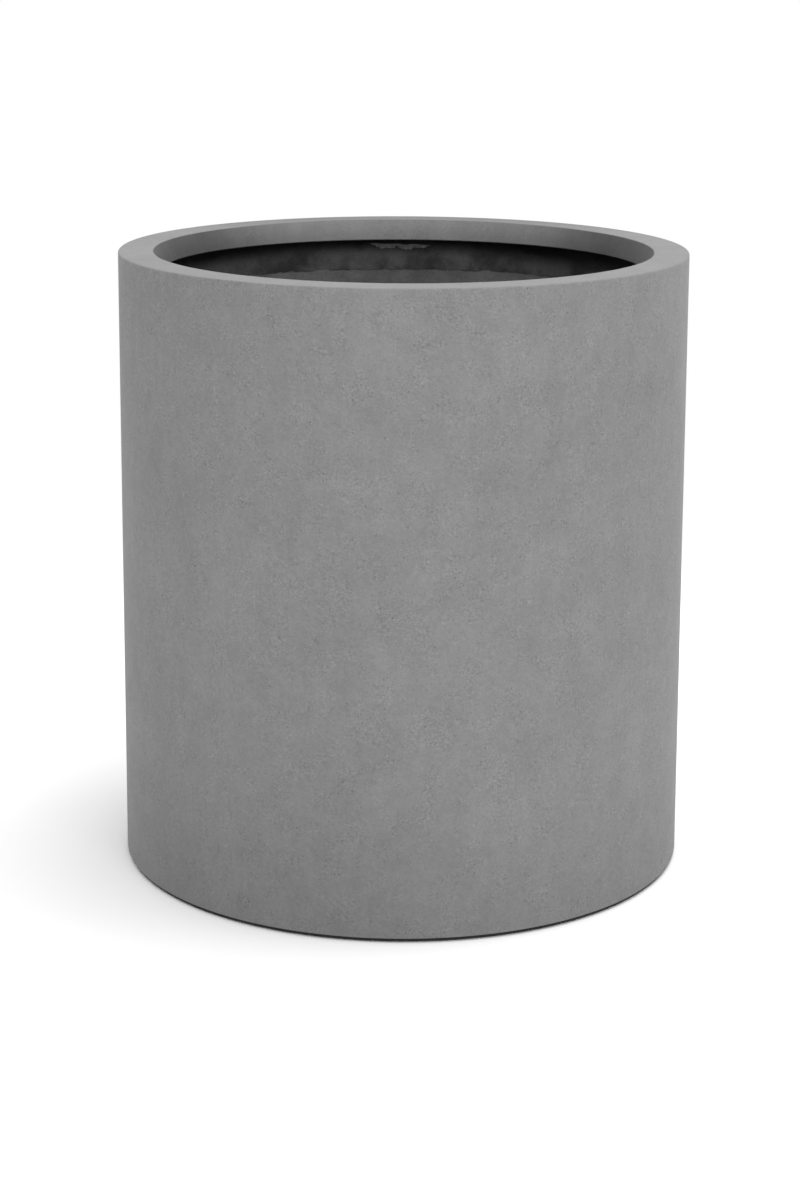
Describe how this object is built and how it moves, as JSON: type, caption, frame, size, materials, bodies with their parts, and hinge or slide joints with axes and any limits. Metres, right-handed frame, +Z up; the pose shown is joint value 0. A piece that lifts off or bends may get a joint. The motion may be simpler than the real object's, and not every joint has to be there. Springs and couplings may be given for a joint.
{
  "type": "floor planter",
  "caption": "Tall straight cylinder floor planter with a flat rim, an inward lip, a dished floor, a drain hole with a lift-out plug and low foot pads.",
  "frame": {"origin": "on the ground, on the planter's vertical axis", "axes": "+Z up along the planter's axis of symmetry; X and Y level, with the pads between them"},
  "size_m": [0.56, 0.56, 0.61],
  "materials": {
    "coated_fiberglass": "matt mineral coat with fine sand speckle over glass-fibre laminate",
    "raw_laminate": "unfinished inner side of the laminate, dark grey, rough and blotchy",
    "plug_rubber": "matt black rubber",
    "pad_rubber": "matt black rubber"
  },
  "bodies": {
    "planter": {"wall_shell": "coated_fiberglass", "rim_ring": "coated_fiberglass", "rim_tape": "raw_laminate", "foot_ring": "raw_laminate", "floor_panel": "raw_laminate", "floor_tape": "raw_laminate", "foot_pad_1": "pad_rubber", "foot_pad_2": "pad_rubber", "foot_pad_3": "pad_rubber", "foot_pad_4": "pad_rubber"},
    "drain_plug": {"drain_plug": "plug_rubber"}
  },
  "joints": [
    {"name": "drain_plug_lift", "type": "slide", "parent": "planter", "child": "drain_plug", "axis": [0, 0, 1], "range_m": [0, 0.64]}
  ]
}
